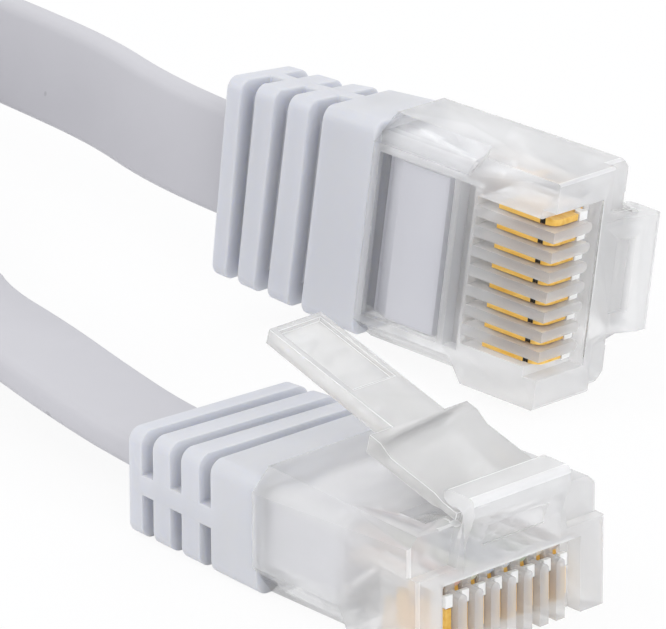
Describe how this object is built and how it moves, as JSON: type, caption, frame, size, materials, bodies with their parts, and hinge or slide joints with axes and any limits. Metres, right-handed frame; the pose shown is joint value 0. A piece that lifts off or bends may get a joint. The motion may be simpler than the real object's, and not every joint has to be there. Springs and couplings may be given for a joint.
{
  "type": "ethernet patch cable",
  "caption": "Flat white network patch lead with a clear modular plug, sprung latch and ribbed boot on each end, its spare length in a tied flat coil.",
  "frame": {"origin": "middle of plug A's front lower edge, where its nose plane meets its contact face", "axes": "+X is the way plug A goes into its socket, -Z is out of its contact face, which lies on the floor, +Z is its latch side"},
  "size_m": [0.1099, 0.0752, 0.0129],
  "materials": {
    "clear_housing": "clear polycarbonate, polished",
    "clear_latch": "clear polycarbonate, polished",
    "clear_wedge": "clear polycarbonate over the white mould",
    "inner_mould": "white moulding",
    "boot": "soft white PVC, satin",
    "cable_jacket": "soft white PVC, satin",
    "gold_contact": "gold plated phosphor bronze",
    "tie": "thin soft strap",
    "wire_white_orange": "wire insulation",
    "wire_orange": "wire insulation",
    "wire_white_green": "wire insulation",
    "wire_blue": "wire insulation",
    "wire_white_blue": "wire insulation",
    "wire_green": "wire insulation",
    "wire_white_brown": "wire insulation",
    "wire_brown": "wire insulation"
  },
  "bodies": {
    "lead": {"plug_a_housing": "clear_housing", "plug_a_strain_wedge": "clear_wedge", "plug_a_inner_mould": "inner_mould", "plug_a_boot": "boot", "plug_a_jacket_end": "cable_jacket", "plug_a_contact_1": "gold_contact", "plug_a_contact_2": "gold_contact", "plug_a_contact_3": "gold_contact", "plug_a_contact_4": "gold_contact", "plug_a_contact_5": "gold_contact", "plug_a_contact_6": "gold_contact", "plug_a_contact_7": "gold_contact", "plug_a_contact_8": "gold_contact", "plug_a_wire_1": "wire_white_orange", "plug_a_wire_2": "wire_orange", "plug_a_wire_3": "wire_white_green", "plug_a_wire_4": "wire_blue", "plug_a_wire_5": "wire_white_blue", "plug_a_wire_6": "wire_green", "plug_a_wire_7": "wire_white_brown", "plug_a_wire_8": "wire_brown", "plug_b_housing": "clear_housing", "plug_b_strain_wedge": "clear_wedge", "plug_b_inner_mould": "inner_mould", "plug_b_boot": "boot", "plug_b_jacket_end": "cable_jacket", "plug_b_contact_1": "gold_contact", "plug_b_contact_2": "gold_contact", "plug_b_contact_3": "gold_contact", "plug_b_contact_4": "gold_contact", "plug_b_contact_5": "gold_contact", "plug_b_contact_6": "gold_contact", "plug_b_contact_7": "gold_contact", "plug_b_contact_8": "gold_contact", "plug_b_wire_1": "wire_white_orange", "plug_b_wire_2": "wire_orange", "plug_b_wire_3": "wire_white_green", "plug_b_wire_4": "wire_blue", "plug_b_wire_5": "wire_white_blue", "plug_b_wire_6": "wire_green", "plug_b_wire_7": "wire_white_brown", "plug_b_wire_8": "wire_brown", "cable_lead_a": "cable_jacket", "cable_lead_b": "cable_jacket", "cable_coil": "cable_jacket", "coil_tie": "tie"},
    "latch_a": {"plug_a_latch": "clear_latch"},
    "latch_b": {"plug_b_latch": "clear_latch"}
  },
  "joints": [
    {"name": "latch_a_press", "type": "hinge", "parent": "lead", "child": "latch_a", "pos_m": [-0.0005, 0, 0.00672], "axis": [0, -1, 0], "range_deg": [0, 12], "stiffness_Nm_per_rad": 0.2},
    {"name": "latch_b_press", "type": "hinge", "parent": "lead", "child": "latch_b", "pos_m": [-0.01923, 0.02523, 0.00576], "axis": [0.0505, 0.1069, 0.993], "range_deg": [0, 12], "stiffness_Nm_per_rad": 0.2}
  ]
}
